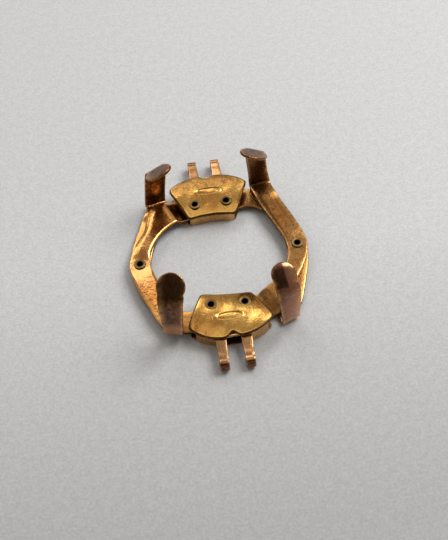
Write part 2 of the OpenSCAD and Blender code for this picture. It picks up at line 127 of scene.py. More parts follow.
@dataclass
class Net:
    """Short hand for laying out nodes."""

    tree: bpy.types.NodeTree

    def add(self, kind: str, inputs: dict[str | int, object], output: str | int = 0,
            **settings: object) -> Socket:
        """Adds a node.

        Args:
            kind: Its type, without the first word.
            inputs: A socket or a plain value for each input that isn't left as it is.
            output: Which output is wanted.
            settings: The node's own settings.

        Returns:
            The output.
        """
        n = self.tree.nodes.new("ShaderNode" + kind)
        for name, value in settings.items():
            setattr(n, name, value)
        for name, value in inputs.items():
            self.put(value, n.inputs[name])
        return n.outputs[output]

    def put(self, value: object, target: Socket) -> None:
        """Links a socket, or writes a plain value on the target."""
        if isinstance(value, bpy.types.NodeSocket):
            self.tree.links.new(value, target)
        else:
            target.default_value = (*value, 1.0) if target.type == "RGBA" else value

    def shader(self, name: str, value: object) -> None:
        """Sets an input of the material's shader."""
        self.put(value, self.tree.nodes["Principled BSDF"].inputs[name])

    def place(self) -> Socket:
        """Returns the place in the object's own space."""
        return self.add("TexCoord", {}, "Object")

    def axis(self, place: Socket, name: str) -> Socket:
        """Returns one part of a place or direction."""
        return self.add("SeparateXYZ", {0: place}, name)

    def noise(self, place: Socket, scale: float, detail: float) -> Socket:
        """Returns noise of that scale per metre."""
        return self.add("TexNoise", {"Vector": place, "Scale": scale, "Detail": detail}, "Fac")

    def scaled(self, place: Socket, scale: tuple[float, float, float]) -> Socket:
        """Returns the place stretched differently along each axis."""
        return self.add("Mapping", {"Vector": place, "Scale": scale})

    def attribute(self, name: str) -> Socket:
        """Returns a value stored on the points of the mesh."""
        return self.add("Attribute", {}, "Fac", attribute_name=name)

    def plus(self, a: object, b: object) -> Socket:
        """Returns a plus b."""
        return self.add("Math", {0: a, 1: b}, operation="ADD")

    def minus(self, a: object, b: object) -> Socket:
        """Returns a minus b."""
        return self.add("Math", {0: a, 1: b}, operation="SUBTRACT")

    def times(self, a: object, b: object) -> Socket:
        """Returns a times b."""
        return self.add("Math", {0: a, 1: b}, operation="MULTIPLY")

    def mixed(self, a: Socket, b: Socket, share: float) -> Socket:
        """Returns a and b mixed, with that share of b."""
        return self.plus(self.times(a, 1 - share), self.times(b, share))

    def clamped(self, value: Socket) -> Socket:
        """Returns the value held between 0 and 1."""
        return self.add("Clamp", {"Value": value})

    def ramp(self, value: Socket, stops: tuple[Point, Point]) -> Socket:
        """Returns the value remapped linearly from the first stop to the last."""
        (a, c), (b, d) = stops
        return self.add("MapRange", {"Value": value, "From Min": a, "From Max": b, "To Min": c, "To Max": d})

    def colours(self, share: Socket, a: object, b: object) -> Socket:
        """Returns colour a at share 0 and colour b at share 1."""
        return self.add("Mix", {"Factor": share, 6: a, 7: b}, 2, data_type="RGBA")

    def shaded(self, colour: object, shade: Socket) -> Socket:
        """Returns the colour darkened or lightened by the shade."""
        return self.add("VectorMath", {0: colour, "Scale": shade}, operation="SCALE")

    def bump(self, height: Socket, strength: float, distance: float) -> None:
        """Works the height into the shader's normals."""
        inputs = {"Height": height, "Strength": strength, "Distance": distance}
        self.shader("Normal", self.add("Bump", inputs))


def new_material(name: str) -> tuple[bpy.types.Material, Net]:
    """Starts a node material and returns it with its net."""
    m = bpy.data.materials.new(name)
    m.use_nodes = True
    return m, Net(m.node_tree)


@dataclass(frozen=True)
class Finish:
    """A metal finish. Each kind lays out its own nodes."""

    name: str

    def lay(self, net: Net) -> None:
        """Lays out the nodes."""
        raise NotImplementedError

    def material(self) -> bpy.types.Material:
        """Returns the node material, which is built once."""
        if self.name not in bpy.data.materials:
            _, net = new_material(self.name)
            net.shader("Metallic", 1.0)
            self.lay(net)
        return bpy.data.materials[self.name]


@dataclass(frozen=True)
class WornGold(Finish):
    """Rolled gold that is worn bright at the edges and tarnished in the hollows; the same two per-point
    values also paint highlights on edges and shade on sides, undersides and hidden parts.
    """

    bright: Colour
    deep: Colour
    tarnish: Colour
    roughness: float
    grain: float
    scratches: float
    pits: float
    copper_deep: Colour = (0.38, 0.16, 0.09)
    copper_bright: Colour = (0.56, 0.27, 0.17)

    def lay(self, net: Net) -> None:
        """Lays out the nodes from the points' own wear with painted highlight and tarnish with painted
        shade, and from noise in object space.
        """
        place = net.place()
        broad = net.noise(place, 260, 2.0)
        blotch = net.noise(place, 1300, 4.0)
        grain = net.noise(place, 3800, 2.0)
        streak = net.noise(net.scaled(place, (9000, 900, 5000)), 1.0, 2.0)
        pit = net.ramp(net.noise(place, 2400, 2.0), ((0.29, 1.0), (0.36, 0.0)))
        patina = net.attribute("patina")
        spread = net.ramp(net.mixed(broad, blotch, 0.35), ((0.34, 0.0), (0.64, 1.0)))
        colour = net.colours(spread, self.deep, self.bright)
        copper = net.colours(spread, self.copper_deep, self.copper_bright)
        colour = net.colours(net.attribute("blush"), colour, copper)
        mottle = net.minus(net.mixed(blotch, grain, 0.5), 0.5)
        # Painted shade and tarnish: this darkening pulls the colour to the dark tarnish colour, for real
        # tarnish and for shade painted on sides, undersides, rims and hollows.
        aged_and_shaded = net.clamped(net.plus(patina, net.times(mottle, net.times(patina, 2.0))))
        colour = net.colours(aged_and_shaded, colour, self.tarnish)
        # Painted highlight and wear: the per-point value pales the colour, for worn edges and for bright
        # edge lines painted as highlights.
        rubbed_and_sheen = net.times(net.attribute("wear"), net.ramp(blotch, ((0.38, 0.25), (0.6, 1.0))))
        pale = tuple(min(1.0, 1.05 * c + 0.05) for c in self.bright)
        colour = net.colours(net.times(rubbed_and_sheen, 0.6), colour, pale)
        shade = net.plus(net.times(grain, 0.7), 0.65)
        shade = net.times(shade, net.minus(1.0, net.times(pit, self.pits)))
        net.shader("Base Color", net.shaded(colour, shade))
        rough = net.plus(self.roughness - 0.06, net.times(blotch, 0.12))
        rough = net.plus(rough, net.times(net.plus(aged_and_shaded, pit), 0.2))
        net.shader("Roughness", net.clamped(net.minus(rough, net.times(rubbed_and_sheen, 0.04))))
        height = net.plus(net.times(grain, 2 * self.grain), net.times(streak, self.scratches))
        height = net.plus(height, net.times(net.mixed(blotch, broad, 0.6), 2.6))
        net.bump(net.minus(height, net.times(pit, 0.25 * self.pits)), 0.5, 0.00004)


COVER_GOLD = WornGold("cover_gold", (0.96, 0.59, 0.16), (0.78, 0.37, 0.09), (0.11, 0.045, 0.02),
                      0.13, 0.35, 0.3, 0.5)
TRAY_GOLD = WornGold("tray_gold", (0.90, 0.56, 0.22), (0.66, 0.34, 0.11), (0.11, 0.055, 0.03),
                     0.22, 0.4, 0.3, 0.5)
LEVER_GOLD = WornGold("lever_gold", (0.92, 0.51, 0.165), (0.66, 0.28, 0.06), (0.08, 0.032, 0.013),
                      0.13, 0.4, 0.5, 0.45)
COPPER_GOLD = WornGold("copper_gold", (0.74, 0.42, 0.19), (0.50, 0.24, 0.10), (0.09, 0.04, 0.025),
                       0.16, 0.3, 0.4, 0.4)
RIVET_BRONZE = WornGold("rivet_bronze", (0.27, 0.165, 0.06), (0.12, 0.072, 0.025), (0.02, 0.014, 0.008),
                        0.3, 0.5, 0.2, 0.4)


@dataclass(frozen=True)
class SpringSteel(Finish):
    """Satin finish of the hidden springs."""

    colour: Colour = (0.36, 0.36, 0.38)
    pale: Colour = (0.5, 0.5, 0.5)

    def lay(self, net: Net) -> None:
        """Lays out the nodes, with drawing marks along the strip."""
        marks = net.noise(net.scaled(net.place(), (400, 400, 9000)), 1.0, 3.0)
        colour = net.colours(marks, self.colour, self.pale)
        net.shader("Base Color", net.shaded(colour, net.plus(marks, 0.4)))
        net.shader("Roughness", net.plus(net.times(marks, 0.3), 0.2))


SPRING_STEEL = SpringSteel("spring_steel_satin")


@dataclass
class SheetMesh:
    """Gathers points and faces in mm, with each point's wear and painted highlight and its tarnish and
    painted shade.
    """

    points: list[Vector] = field(default_factory=list)
    looks: dict[str, list[float]] = field(default_factory=lambda: {"wear": [], "patina": [], "blush": []})
    faces: list[list[int]] = field(default_factory=list)

    def ring(self, points: Sequence[Vector], wear: float | list[float], patina: float | list[float],
             blush: float = 0.0) -> list[int]:
        """Adds a row of points.

        Args:
            points: The places in mm.
            wear: How far the points are paled, for wear and for a painted highlight, together or one by one.
            patina: How far they are darkened, for tarnish and for painted shade, together or one by one.
            blush: How far the copper under the gold shows.

        Returns:
            The numbers of the new points.
        """
        first = len(self.points)
        n = len(points)
        self.points.extend(points)
        for word, value in (("wear", wear), ("patina", patina), ("blush", blush)):
            self.looks[word].extend(value if isinstance(value, list) else [value] * n)
        return list(range(first, first + n))

    def skin(self, rows: list[list[int]], looped: bool = False) -> None:
        """Joins closed rings of points with four-sided faces.

        Args:
            rows: The rings' points, ring after ring.
            looped: Whether the last ring joins the first; otherwise both are closed off.
        """
        for a, b in zip(rows, rows[1:] + (rows[:1] if looped else [])):
            for i in range(len(a)):
                j = (i + 1) % len(a)
                self.faces.append([a[i], a[j], b[j], b[i]])
        if not looped:
            self.faces += [list(reversed(rows[0])), rows[-1]]

    def build(self, name: str, finish: Finish, place: Matrix, crease: float) -> bpy.types.Object:
        """Makes the object.

        Args:
            name: The piece's name.
            finish: Its finish.
            place: Turn or mirror applied to the drawn points.
            crease: Angle in degrees above which an edge stays sharp.

        Returns:
            The new object, with its place in its mesh.
        """
        mesh = bpy.data.meshes.new(name)
        mesh.from_pydata([tuple((place @ p) * MM) for p in self.points], [], self.faces)
        for word, values in self.looks.items():
            mesh.attributes.new(word, "FLOAT", "POINT").data.foreach_set("value", values)
        shape = bmesh.new()
        shape.from_mesh(mesh)
        bmesh.ops.recalc_face_normals(shape, faces=shape.faces)
        shape.to_mesh(mesh)
        shape.free()
        mesh.shade_smooth()
        mesh.set_sharp_from_angle(angle=radians(crease))
        mesh.materials.append(finish.material())
        return add_object(name, mesh)


FLAT: Creases = ((-0.4, 0.0), (0.4, 0.0))
SOFT: tuple[Creases, Creases] = (((-0.75, 0.05), (0.6, 0.06)), ((-0.7, 0.04), (0.6, 0.05)))


@dataclass
class Station:
    """One cross-section of a bent strip of sheet, in mm."""

    centre: Vector
    across: Vector
    left: float
    right: float
    thickness: float
    creases: Creases = FLAT
    patina: float = 0.0
    # Darkness of the underside and of the edges: painted shade.
    under: float = 0.9
    blush: float = 0.0
    # Darkening that grows across the strip to one side: a painted dark reflection.
    painted_reflection_slant: float = 0.0


@dataclass
class Strip:
    """A strip of sheet with rounded edges that follows a row of stations."""

    stations: list[Station]
    edge_r: float = 0.16
    # Angle round the rounded edge in degrees and how far it is paled there: edge wear together with a
    # painted highlight along the edge.
    edge: tuple[Point, ...] = ((0, 0.0), (25, 0.0), (50, 0.5), (70, 1.0), (90, 0.9))

    def section(self, s: Station) -> list[Row]:
        """Lays out the outline of one cross-section.

        Args:
            s: The station.

        Returns:
            For each point, once round: place across, height, wear with painted highlight, and tarnish with
                painted shade.
        """
        half_t = s.thickness / 2
        r = min(self.edge_r, 0.96 * half_t, 0.6 * min(s.left, s.right))
        knots = [-s.left] + [b * (s.left if b < 0 else s.right) for b, _ in s.creases] + [s.right]
        lifts = [0.0] + [h for _, h in s.creases] + [0.0]
        low = -s.left + r
        high = s.right - r
        d = 0.02 * (s.left + s.right)
        inner = [clamp(k, low + 2 * d, high - 2 * d) for k in knots[1:3]]
        spans = ((low, inner[0] - d, 3), (inner[0] + d, inner[1] - d, 4), (inner[1] + d, high, 3))
        flat = [mix(a, b, i / n) for a, b, n in spans for i in range(n + 1)][1:-1]
        rise = [(r * cos(radians(a)), half_t - r + r * sin(radians(a)), w) for a, w in self.edge]
        top = [(low - x, z, w) for x, z, w in rise]
        top += [(x, half_t, 0.3 if i in (0, len(flat) - 1) else 0.0) for i, x in enumerate(flat)]
        top += [(high + x, z, w) for x, z, w in reversed(rise)]
        out = []
        for side, points in ((1, top), (-1, list(reversed(top)))):
            for x, z, wear in points:
                k = 0 if x < knots[1] else 1 if x < knots[2] else 2
                share = clamp((x - knots[k]) / max(knots[k + 1] - knots[k], 1e-6))
                # The face's tarnish, plus a slant across the strip that paints a dark reflection on one
                # side.
                face = clamp((s.patina if side > 0 else s.under) + s.painted_reflection_slant * x / s.right)
                # Painted shade: the sheet's sides and underside take the darker under value.
                dark = face if z > half_t - 0.7 * r else max(face, s.under)
                out.append((x, side * z + mix(lifts[k], lifts[k + 1], share), wear, dark))
        return out

    def mesh(self, into: SheetMesh) -> None:
        """Adds the strip's points and faces to a mesh."""
        rows = []
        places = [s.centre for s in self.stations]
        for s, before, after in zip(self.stations, places[:1] + places, places[1:] + places[-1:]):
            normal = s.across.cross((after - before).normalized()).normalized()
            xs, zs, wear, dark = zip(*self.section(s))
            points = [s.centre + s.across * x + normal * z for x, z in zip(xs, zs)]
            rows.append(into.ring(points, list(wear), list(dark), s.blush))
        into.skin(rows)


def round_end(r: float, thickness: float) -> list[tuple[float, float, float]]:
    """Lays out the stations of a half-round end.

    Args:
        r: Radius of the end.
        thickness: Thickness of the sheet.

    Returns:
        For each station: distance past the centre, half width, and thickness.
    """
    out = []
    for a in (8, 17, 26, 35, 44, 53, 61, 68, 74, 79, 83, 86, 88):
        along = r * sin(radians(a))
        rim = clamp((along - (r - thickness / 2)) / (thickness / 2))
        out.append((along, r * cos(radians(a)), thickness * sqrt(max(0.03, 1 - rim * rim))))
    return out


@dataclass
class BoreCutter:
    """Cuts round holes for the hollow rivets."""

    radius: float
    places: list[Point]
    depth: float

    def cut(self, piece: bpy.types.Object, crease: float) -> None:
        """Cuts the holes through a piece and takes the cutter away again.

        Args:
            piece: The piece.
            crease: Angle in degrees above which an edge of it stays sharp.
        """
        shape = bmesh.new()
        for x, y in self.places:
            bmesh.ops.create_cone(shape, cap_ends=True, segments=48, radius1=self.radius * MM,
                                  radius2=self.radius * MM, depth=self.depth * MM,
                                  matrix=Matrix.Translation((x * MM, y * MM, 0)))
        mesh = bpy.data.meshes.new("bore_cutter")
        shape.to_mesh(mesh)
        shape.free()
        cutter = add_object("bore_cutter", mesh)
        step = piece.modifiers.new("bores", "BOOLEAN")
        step.operation = "DIFFERENCE"
        step.solver = "EXACT"
        step.use_self = True
        step.object = cutter
        bpy.context.view_layer.update()
        seen = piece.evaluated_get(bpy.context.evaluated_depsgraph_get())
        done = bpy.data.meshes.new_from_object(seen)
        piece.modifiers.clear()
        old = piece.data
        piece.data = done
        bpy.data.meshes.remove(old)
        bpy.data.objects.remove(cutter)
        bpy.data.meshes.remove(mesh)
        done.set_sharp_from_angle(angle=radians(crease))


@dataclass
class Linkage:
    """Sizes that the levers, boxes and rivets share."""

    side_pivot_x: float = 12.6
    box_pivot_x: float = 2.6
    box_pivot_y: float = 9.95
    lever_t: float = 0.7
    low_mid: float = 0.9
    high_mid: float = 1.7

    @property
    def pivots(self) -> list[Point]:
        """The places of all six pivots."""
        x = self.box_pivot_x
        y = self.box_pivot_y
        return [(-x, -y), (-x, y), (x, -y), (x, y), (self.side_pivot_x, 0.0), (-self.side_pivot_x, 0.0)]


class Piece:
    """A visible piece that takes the place of one node of the frame."""

    node: str
    body: str
    links: Linkage
    form = "sheet"
    slot = "gold"
    finish: Finish = LEVER_GOLD
    crease = 50.0
    pivot_bore_r = 0.0
    bore_depth = 12.0
    place = Matrix.Identity(4)

    def draw(self, mesh: SheetMesh) -> None:
        """Adds the piece's points and faces to the mesh."""
        raise NotImplementedError

    def build(self) -> bpy.types.Object:
        """Makes the piece and seats it on its body.

        Returns:
            The piece.
        """
        mesh = SheetMesh()
        self.draw(mesh)
        piece = mesh.build(f"{self.node}_{self.form}", self.finish, self.place, self.crease)
        if self.pivot_bore_r:
            BoreCutter(self.pivot_bore_r, self.links.pivots, self.bore_depth).cut(piece, self.crease)
        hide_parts(self.node)
        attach(piece, self.body)
        return piece


class BoxPiece(Piece):
    """A piece of one of the boxes, drawn for the rear one."""

    half: Half
    kind: str

    @property
    def node(self) -> str:
        """The node's name."""
        return f"{self.half.word}_{self.kind}"

    @property
    def body(self) -> str:
        """The name of the box that it rides on."""
        return self.half.word + "_box"

    @property
    def place(self) -> Matrix:
        """The turn to its own half."""
        return self.half.turn


class Level(Enum):
    """Whether a lever passes over or under the side pivot's other lever."""

    UPPER = 1
    LOWER = 2


@dataclass
class ClawShape:
    """Sizes of an upright claw and how it is bent by hand."""

    seat: Point
    fold_turn: float
    tip_turn: float
    lean: float
    roll: float
    fold_half_w: float
    stem_half_w: float
    neck_half_w: float
    tip_r: float
    # Darkening of the stem: tarnish together with painted shade on the stem.
    patina: float
    # Darkening of the bent tip: tarnish together with a painted dark reflection.
    tip_patina_and_reflection: float
    blush: float
    flat: float = 1.5
    fold_r: float = 0.55
    widen_from: float = 0.3
    stem_h: float = 7.3
    bend_r: float = 1.6
    slope: float = 33.0
    # Painted dark reflection on one side of the claw, growing across it.
    painted_reflection_slant: float = 0.0
    dark_from: float = 0.8
    ridge: float = 0.0
    sheet_t: float = 0.45
    fold_extra_t: float = 0.1
    dent: float = -0.05


@dataclass
class Lever(Piece):
    """A lever in one piece of sheet: tongue, arm, fold and claw.

    It is drawn with its claw at the rear right and its tongue to the front box.
    """

    node: str
    body: str
    level: Level
    turned: bool
    claw: ClawShape
    links: Linkage
    run: float
    sweep: float
    arm_creases: tuple[Creases, Creases]
    tongue_creases: tuple[Creases, Creases]
    patina: float
    blush: float = 0.0
    hump: float = 0.0
    belly: float = 2.1
    shelf: float = 0.0
    tongue_level: float = 6.0
    side_half_w: float = 1.68
    end_half_w: float = 1.78
    tongue_r: float = 1.45
    waist: float = 0.3
    flare: float = 0.95
    rise_from: float = 5.35
    rise_over: float = 1.4
    drop: float = 0.45
    drop_from: float = 2.68
    drop_over: float = 6.52
    belly_from: float = 0.42
    shelf_from: float = 0.55
    hump_from: float = 0.68
    heel: Point = (-0.85, -2.3)
    heel_half_w: tuple[float, float] = (1.3, 0.85)
    heel_slack: float = 0.02
    # Painted shade on the parts under the box's cover: the tongue's round end and the heel.
    hidden_shade: float = 0.8
    pivot_bore_r: float = 0.76
    bore_depth: float = 5.6

    @property
    def place(self) -> Matrix:
        """Where the drawn lever goes: mirrored front to rear if it is a lower one, then turned."""
        flip = Matrix.Diagonal((1, -1, 1, 1)) if self.level is Level.LOWER else Matrix.Identity(4)
        return (Half.FRONT.turn if self.turned else Matrix.Identity(4)) @ flip

    def height(self, x: float, y: float) -> float:
        """Returns the height of the sheet's middle at a drawn place."""
        if self.level is Level.UPPER:
            return mix(self.links.low_mid, self.links.high_mid, ease((x - self.rise_from) / self.rise_over))
        return self.links.low_mid - self.drop * ease((y - self.drop_from) / self.drop_over)

    def flat(self, p: Sequence[float], ahead: Vector, left: float, right: float, thickness: float,
             creases: Creases, patina: float, blush: float = 0.0) -> Station:
        """Returns a flat station; left is the half width on the inner side of the ring."""
        across = Vector((ahead.y, -ahead.x, 0)).normalized()
        return Station(Vector((*p, self.height(*p))), across, left, right, thickness, creases, patina,
                       blush=blush)

    def creases(self, ends: tuple[Creases, Creases], t: float) -> Creases:
        """Returns both creases at t, between those at the side pivot and those at the far end."""
        calm = ease((t - 0.06) / 0.2)
        return tuple((mix(a[0], b[0], t), calm * mix(a[1], b[1], t)) for a, b in zip(*ends))

    def tongue(self) -> list[Station]:
        """Lays out the tongue, from its round end to the side pivot."""
        k = self.links
        curve = ((k.side_pivot_x, 0.0), (k.side_pivot_x, -self.run),
                 (k.box_pivot_x + self.tongue_level, self.sweep - k.box_pivot_y),
                 (k.box_pivot_x, -k.box_pivot_y))
        out = []
        end = Vector((self.tongue_level, self.sweep)).normalized()
        for along, half, t in reversed(round_end(self.tongue_r, k.lever_t)):
            p = Vector(curve[-1]) - end * along
            flare = 1 + self.flare / self.tongue_r * (half / self.tongue_r) ** 2
            out.append(self.flat(p, end, half, half * flare, t, FLAT, self.hidden_shade))
        for i in range(40, -1, -1):
            t = i / 40
            p = bezier(curve, t)
            ahead = (bezier(curve, t - 0.01) - p).normalized()
            half = mix(self.side_half_w, self.tongue_r, t) - self.waist * sin(pi * t)
            # Painted shade: the tongue darkens as it goes in under the cover.
            dark = mix(self.patina, 0.75, ease((t - 0.82) / 0.18))
            bend = self.creases(self.tongue_creases, t) if t < 0.85 else FLAT
            outer = half + self.flare * t ** 3 + self.belly * swell(t, self.belly_from)
            out.append(self.flat(p, ahead, half, outer, k.lever_t, bend, dark, self.blush * (1 - t)))
        return out

    def arm(self) -> list[Station]:
        """Lays out the arm, from the side pivot to the fold."""
        k = self.links
        c = self.claw
        turn = radians(c.fold_turn)
        facing = Vector((sin(turn), cos(turn)))
        start = Vector(c.seat) - facing * c.fold_r
        curve = ((k.side_pivot_x, 0.0), (k.side_pivot_x, 3.2), (c.seat[0] + 0.6, c.seat[1] - 4.3),
                 (start.x, start.y))
        out = []
        for i in range(1, 37):
            t = i / 36
            p = bezier(curve, t)
            ahead = (p - bezier(curve, t - 0.01)).normalized()
            ahead = ahead.lerp(facing, ease((t - 0.62) / 0.38)).normalized()
            half = mix(self.side_half_w, self.end_half_w, ease(t / 0.8))
            half = mix(half, c.fold_half_w + 0.04, ease((t - 0.8) / 0.2))
            thick = mix(k.lever_t, c.sheet_t + c.fold_extra_t, ease((t - 0.8) / 0.2))
            inner = half + self.shelf * swell(t, self.shelf_from)
            bend = self.creases(self.arm_creases, t)
            s = self.flat(p, ahead, inner, half, thick, bend, self.patina, self.blush * (1 - t))
            s.centre.z += (k.lever_t - thick) / 2 + self.hump * swell(t, self.hump_from)
            out.append(s)
        return out

    def upright(self) -> list[Station]:
        """Lays out the claw, from the fold up the stem, round the bend and out to the round tip."""
        c = self.claw
        ground = self.height(*c.seat) + self.links.lever_t / 2
        lean = tan(radians(c.lean))
        slope = radians(c.slope)
        top = c.stem_h + c.bend_r * cos(slope)

        def at(y: float, z: float, half: float, thickness: float, dent: float, patina: float) -> Station:
            """Makes a station at a place given outwards and up from the fold."""
            turn = radians(mix(c.fold_turn, c.tip_turn, ease(z / (top - 0.3))))
            across = Vector((cos(turn), -sin(turn), 0))
            outwards = Vector((sin(turn), cos(turn), 0))
            centre = Vector((*c.seat, ground + z)) + outwards * y - across * (lean * max(z, 0))
            across.z = lean + c.roll * ease((z / top - 0.75) / 0.25)
            ridge = c.ridge * ease((z / top - 0.6) / 0.3) * min(1.0, half / c.stem_half_w)
            bend = ((-0.5, dent + ridge / 2), (0.05, dent + ridge))
            return Station(centre, across.normalized(), half, half, thickness, bend, patina, patina,
                           c.blush * ease(z / 1.2), c.painted_reflection_slant * ease(z / 3))

        out = []
        foot = c.fold_r - c.sheet_t / 2
        for i, (y, z) in enumerate(arc((-c.fold_r, foot), c.fold_r, -pi / 2, 0, 8)):
            out.append(at(y, z, c.fold_half_w, c.sheet_t + c.fold_extra_t * (1 - i / 8), 0.04,
                          mix(self.patina, c.patina, ease((i - 2) / 6))))
        for i in range(1, 27):
            t = i / 26
            half = mix(c.fold_half_w, c.stem_half_w, ease(t / 0.35))
            half = mix(half, c.neck_half_w, 0.6 * ease((t - c.widen_from) / (1 - c.widen_from)))
            bow = 0.09 * sin(pi * t) + 0.03 * sin(7 * t + c.lean)
            dark = mix(c.patina, c.tip_patina_and_reflection, ease((t - c.dark_from) / 0.3))
            out.append(at(bow, mix(foot, c.stem_h, t), half, c.sheet_t, mix(0.04, -0.03, t), dark))
        for i, (y, z) in enumerate(arc((-c.bend_r, c.stem_h), c.bend_r, 0, pi / 2 - slope, 12)[1:], 1):
            half = mix(mix(c.stem_half_w, c.neck_half_w, 0.6), c.neck_half_w, i / 12)
            out.append(at(y, z, half, c.sheet_t, -0.03, c.tip_patina_and_reflection))
        inwards = Vector((-cos(slope), sin(slope)))
        base = Vector((-c.bend_r + c.bend_r * sin(slope), top))
        for i in range(1, 11):
            p = base + inwards * (c.flat * i / 10)
            chord = sqrt(max(0.0, c.tip_r ** 2 - (c.flat * (1 - i / 10)) ** 2))
            half = mix(c.neck_half_w, chord, ease(i / 4))
            out.append(at(p.x, p.y, half, c.sheet_t, c.dent, c.tip_patina_and_reflection))
        for along, half, t in round_end(c.tip_r, c.sheet_t):
            p = base + inwards * (c.flat + along)
            out.append(at(p.x, p.y, half, t, c.dent * half / c.tip_r, c.tip_patina_and_reflection))
        return out

    def heel_strip(self) -> list[Station]:
        """Lays out the heel, from the box pivot to its round end beside the spring."""
        k = self.links
        ahead = Vector(self.heel).normalized()
        pivot = Vector((k.box_pivot_x, -k.box_pivot_y))
        end = pivot + Vector(self.heel)
        thick = k.lever_t - self.heel_slack
        places = [(pivot.lerp(end, i / 6), mix(*self.heel_half_w, i / 6), thick) for i in range(7)]
        rounded = round_end(self.heel_half_w[1], thick)
        places += [(end + ahead * along, half, t) for along, half, t in rounded]
        return [self.flat(p, ahead, half, half, t, FLAT, self.hidden_shade) for p, half, t in places]

    def draw(self, mesh: SheetMesh) -> None:
        """Adds the sheet and its heel."""
        Strip(self.tongue() + self.arm() + self.upright()).mesh(mesh)
        Strip(self.heel_strip()).mesh(mesh)


@dataclass
class BoxOutline:
    """Outline of a box seen from above, drawn for the rear one."""

    inner_y: float = 7.6
    inner_x: float = 3.95
    spread: float = 0.46
    corner_r: float = 0.45
    bow: float = 0.25
    lobe_r: float = 6.9
    lobe_x: float = 1.2
    outer_y: float = 15.9
    notch_depth: float = 0.95
    notch_half_w: float = 1.15
    arch_r: float = 14.7
    arch_y: float = 12.8
    crown_z: float = 3.15
    twist: float = 0.0

    def top(self, x: float, y: float) -> float:
        """Returns the height of the cover's arch, which is slightly twisted."""
        past = y - self.arch_y
        return self.crown_z - self.arch_r + sqrt(self.arch_r ** 2 - past ** 2) + self.twist * x * past

    def side_x(self, y: float, g: float) -> float:
        """Returns the half width at y, set in by g."""
        return self.inner_x + self.spread * (y - self.inner_y) - g * hypot(1, self.spread)

    def half(self, g: float, notched: bool) -> list[Point]:
        """Lays out the right half.

        Args:
            g: Distance that the outline is set in.
            notched: Whether the outer edge dips between the lobes.

        Returns:
            Points from the middle of the inner edge round to the notch.
        """
        x = self.side_x(self.inner_y + g, g)
        y = self.inner_y + g
        r = self.corner_r
        out = [((x - r) * i / 10, y + self.bow * (1 - (i / 10) ** 2)) for i in range(11)]
        knee = ((x - r, y), (x - r / 3, y), (x + r / 3 * self.spread, y + r / 3),
                (x + r * self.spread, y + r))
        out += [tuple(bezier(knee, i / 6)) for i in range(1, 7)]
        # The side's straight line ends where it meets the lobe's circle.
        lobe = (self.lobe_x, self.outer_y - self.lobe_r)
        rho = self.lobe_r - g
        a = self.side_x(lobe[1], g) - self.lobe_x
        k = 1 + self.spread ** 2
        up = (-a * self.spread + sqrt((a * self.spread) ** 2 - k * (a * a - rho * rho))) / k
        first = atan2(up, a + self.spread * up)
        last = acos((self.notch_half_w - self.lobe_x) / self.lobe_r)
        round_edge = arc(lobe, rho, first, last, 22)
        side = out[-1]
        corner = round_edge[0]
        out += [(mix(side[0], corner[0], i / 10), mix(side[1], corner[1], i / 10)) for i in range(1, 10)]
        out += round_edge
        lip = out[-1]
        low = self.outer_y - self.notch_depth - 1.3 * g if notched else lip[1]
        for t in (0.25, 0.5, 0.75, 1):
            out.append((lip[0] * (1 - t), mix(lip[1], low, 0.35 * ease(t) + 0.65 * t)))
        return out

    def whole(self, g: float, rounds: int, notched: bool) -> list[Point]:
        """Lays out the whole outline, anticlockwise.

        Args:
            g: Distance that the outline is set in.
            rounds: How often its corners are softened.
            notched: Whether the outer edge dips between the lobes.

        Returns:
            The points.
        """
        h = self.half(g, notched)
        line = h + [(-x, y) for x, y in reversed(h[1:-1])]
        for _ in range(rounds):
            around = zip(line[-1:] + line[:-1], line, line[1:] + line[:1])
            line = [((a[0] + 2 * b[0] + c[0]) / 4, (a[1] + 2 * b[1] + c[1]) / 4) for a, b, c in around]
        return line


